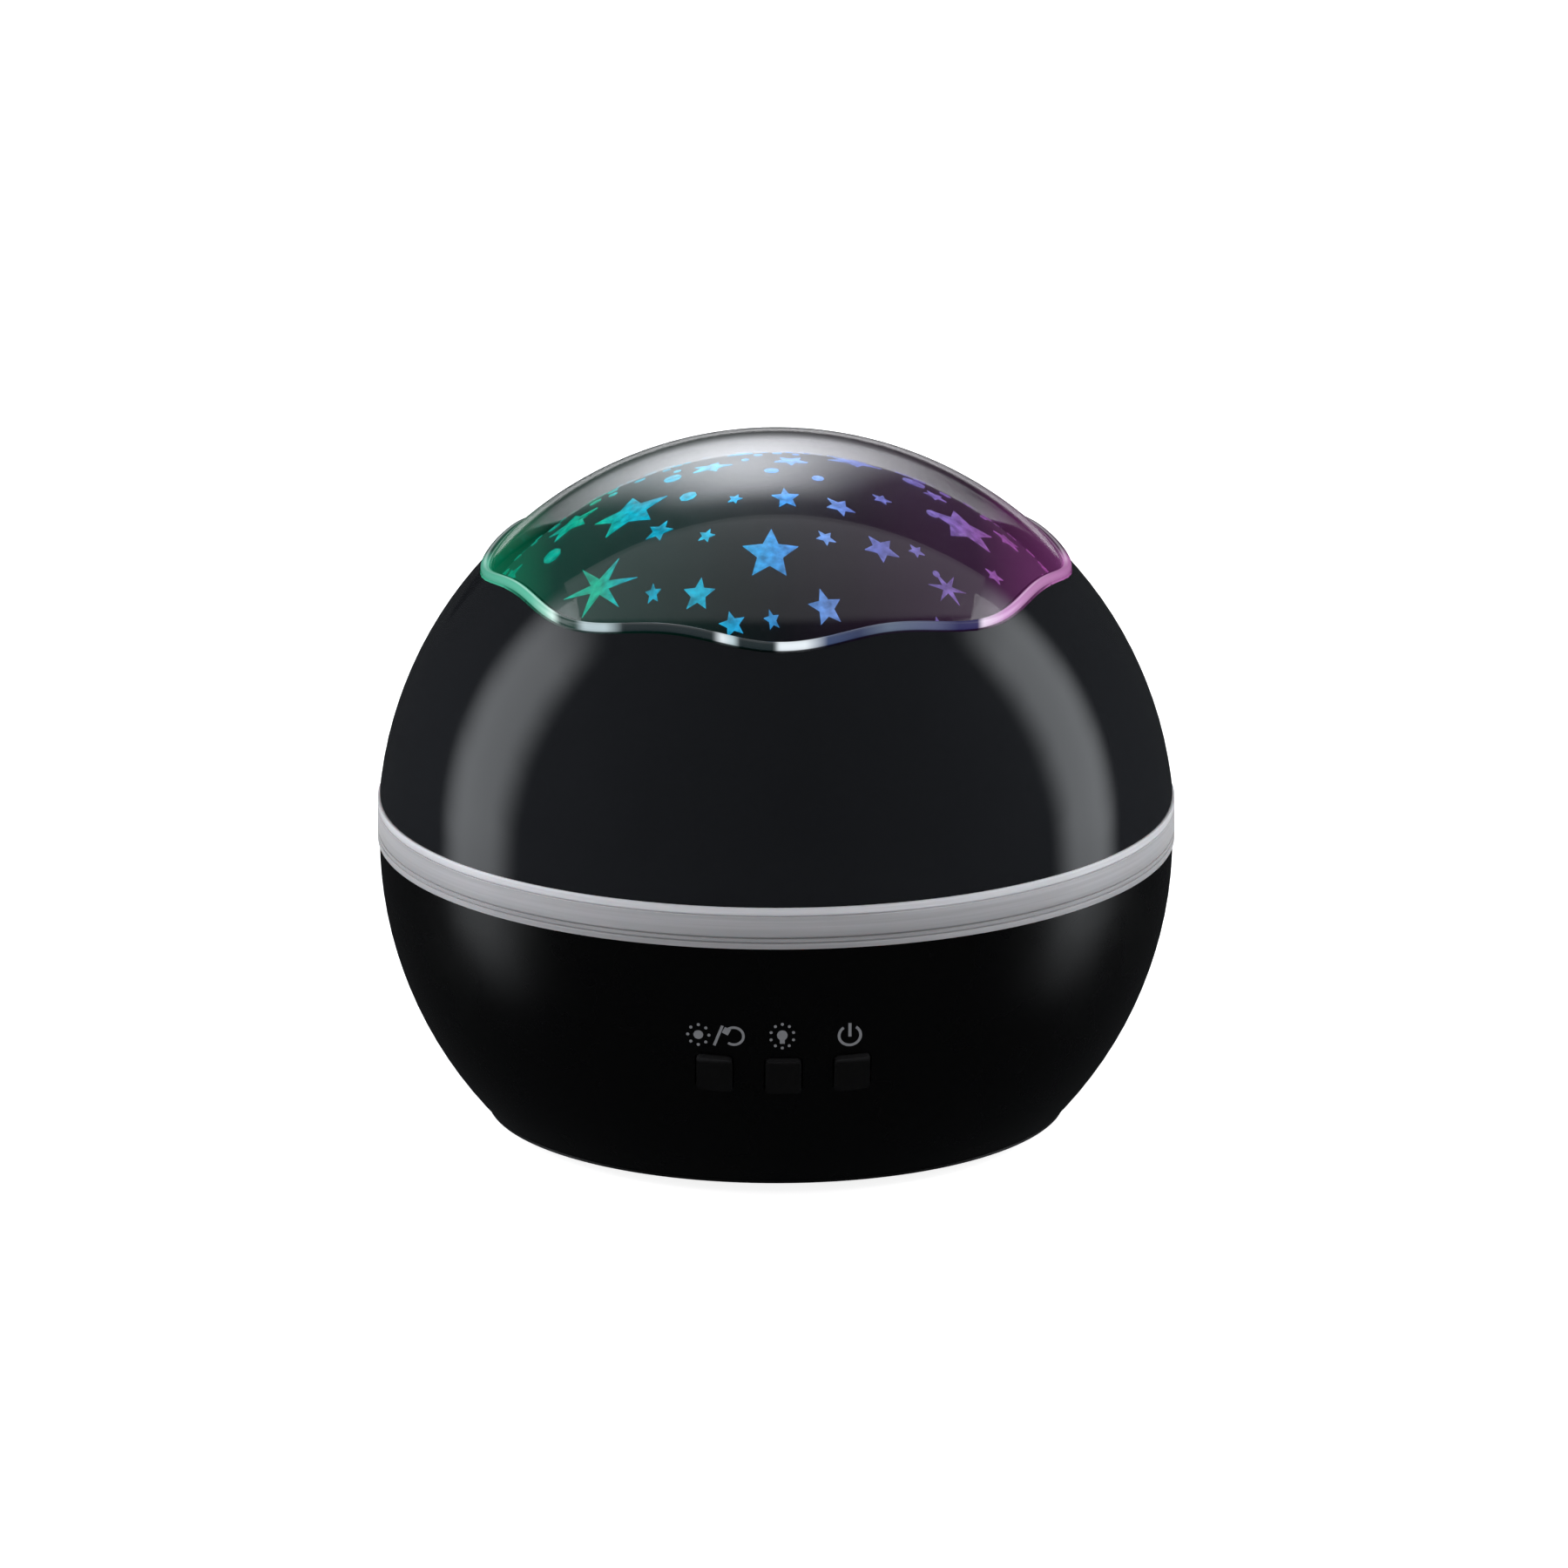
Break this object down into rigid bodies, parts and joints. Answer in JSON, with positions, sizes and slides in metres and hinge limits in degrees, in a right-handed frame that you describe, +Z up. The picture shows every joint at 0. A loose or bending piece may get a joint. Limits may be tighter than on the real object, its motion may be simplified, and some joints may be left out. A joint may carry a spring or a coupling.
{
  "type": "star night light projector",
  "caption": "Ball-shaped night light with a lift-off cover, a clear dome over a turning star dome, a trim ring and push buttons on a bowl-shaped base.",
  "frame": {"origin": "middle of the circle of feet, on the surface that it stands on", "axes": "+Z up through the dome, -Y to the front with the buttons, +X to the right seen from the front"},
  "size_m": [0.13, 0.13, 0.1135],
  "materials": {
    "black_gloss": "gloss",
    "black_satin": "satin",
    "button_black": "gloss",
    "frosted": "frosted translucent",
    "clear": "clear gloss",
    "star_film": "smoky translucent with printed stars",
    "rubber_foot": "matte",
    "screw_steel": "bright",
    "cell_jacket": "gloss",
    "contact_nickel": "bright",
    "board_green": "satin",
    "board_white": "satin",
    "switch_black": "matte",
    "inner_white": "matte",
    "tray_white": "matte",
    "gear_nylon": "satin",
    "inner_black": "matte",
    "shaft_steel": "ground",
    "can_steel": "satin",
    "gearbox_brass": "satin",
    "led_white": "clear",
    "led_red": "clear",
    "led_green": "clear",
    "led_blue": "clear",
    "wire_insulation": "satin"
  },
  "bodies": {
    "base": {"lower_shell": "black_satin", "trim_ring": "frosted", "bottom_cover": "black_satin", "deck_plate": "inner_white", "foot_1": "rubber_foot", "foot_2": "rubber_foot", "foot_3": "rubber_foot", "foot_4": "rubber_foot", "case_screws": "screw_steel", "deck_screws": "screw_steel", "board_screws": "screw_steel", "clamp_screws": "screw_steel", "cell_1": "cell_jacket", "cell_2": "cell_jacket", "cell_3": "cell_jacket", "cell_4": "cell_jacket", "contact_plates": "contact_nickel", "contact_springs": "contact_nickel", "control_board": "board_green", "switch_1": "switch_black", "switch_2": "switch_black", "switch_3": "switch_black", "inlet_board": "board_green", "power_inlet": "can_steel", "motor": "can_steel", "gearbox": "gearbox_brass", "motor_clamp": "inner_black", "idler_pin": "shaft_steel", "led_post": "inner_white", "led_board": "board_white", "led_1": "led_white", "led_2": "led_red", "led_3": "led_green", "led_4": "led_blue", "wire_inlet": "wire_insulation", "wire_lamp": "wire_insulation", "wire_minus": "wire_insulation", "wire_motor": "wire_insulation", "wire_plus": "wire_insulation"},
    "tray": {"turntable": "tray_white", "star_dome": "star_film", "dome_retainer": "inner_black"},
    "idler": {"idler_gear": "gear_nylon"},
    "pinion": {"drive_pinion": "gear_nylon", "motor_shaft": "shaft_steel"},
    "cover": {"upper_shell": "black_gloss", "clear_dome": "clear"},
    "light_button": {"button_light": "button_black", "plunger_1": "inner_white"},
    "bulb_button": {"button_bulb": "button_black", "plunger_2": "inner_white"},
    "power_button": {"button_power": "button_black", "plunger_3": "inner_white"},
    "door": {"battery_door": "black_satin", "door_screws": "screw_steel"}
  },
  "joints": [
    {"name": "tray_spin", "type": "hinge", "parent": "base", "child": "tray", "pos_m": [0, 0, 0.0566], "axis": [0, 0, 1], "continuous": true},
    {"name": "idler_spin", "type": "hinge", "parent": "base", "child": "idler", "pos_m": [0, 0.03, 0.0538], "axis": [0, 0, 1], "continuous": true},
    {"name": "pinion_spin", "type": "hinge", "parent": "base", "child": "pinion", "pos_m": [-0.01457, 0.02031, 0.0538], "axis": [0, 0, 1], "continuous": true},
    {"name": "cover_lift", "type": "slide", "parent": "base", "child": "cover", "axis": [0, 0, 1], "range_m": [0, 0.07]},
    {"name": "light_press", "type": "slide", "parent": "base", "child": "light_button", "axis": [0, 0.9396, 0.3424], "range_m": [0, 0.0006], "stiffness_N_per_m": 1500},
    {"name": "bulb_press", "type": "slide", "parent": "base", "child": "bulb_button", "axis": [0, 0.9396, 0.3424], "range_m": [0, 0.0006], "stiffness_N_per_m": 1500},
    {"name": "power_press", "type": "slide", "parent": "base", "child": "power_button", "axis": [0, 0.9396, 0.3424], "range_m": [0, 0.0006], "stiffness_N_per_m": 1500},
    {"name": "door_off", "type": "slide", "parent": "base", "child": "door", "axis": [0, 0, -1], "range_m": [0, 0.012]}
  ],
  "couplings": [
    {"joint": "idler_spin", "follows": "tray_spin", "ratio": 4},
    {"joint": "pinion_spin", "follows": "tray_spin", "ratio": -5.3333}
  ]
}
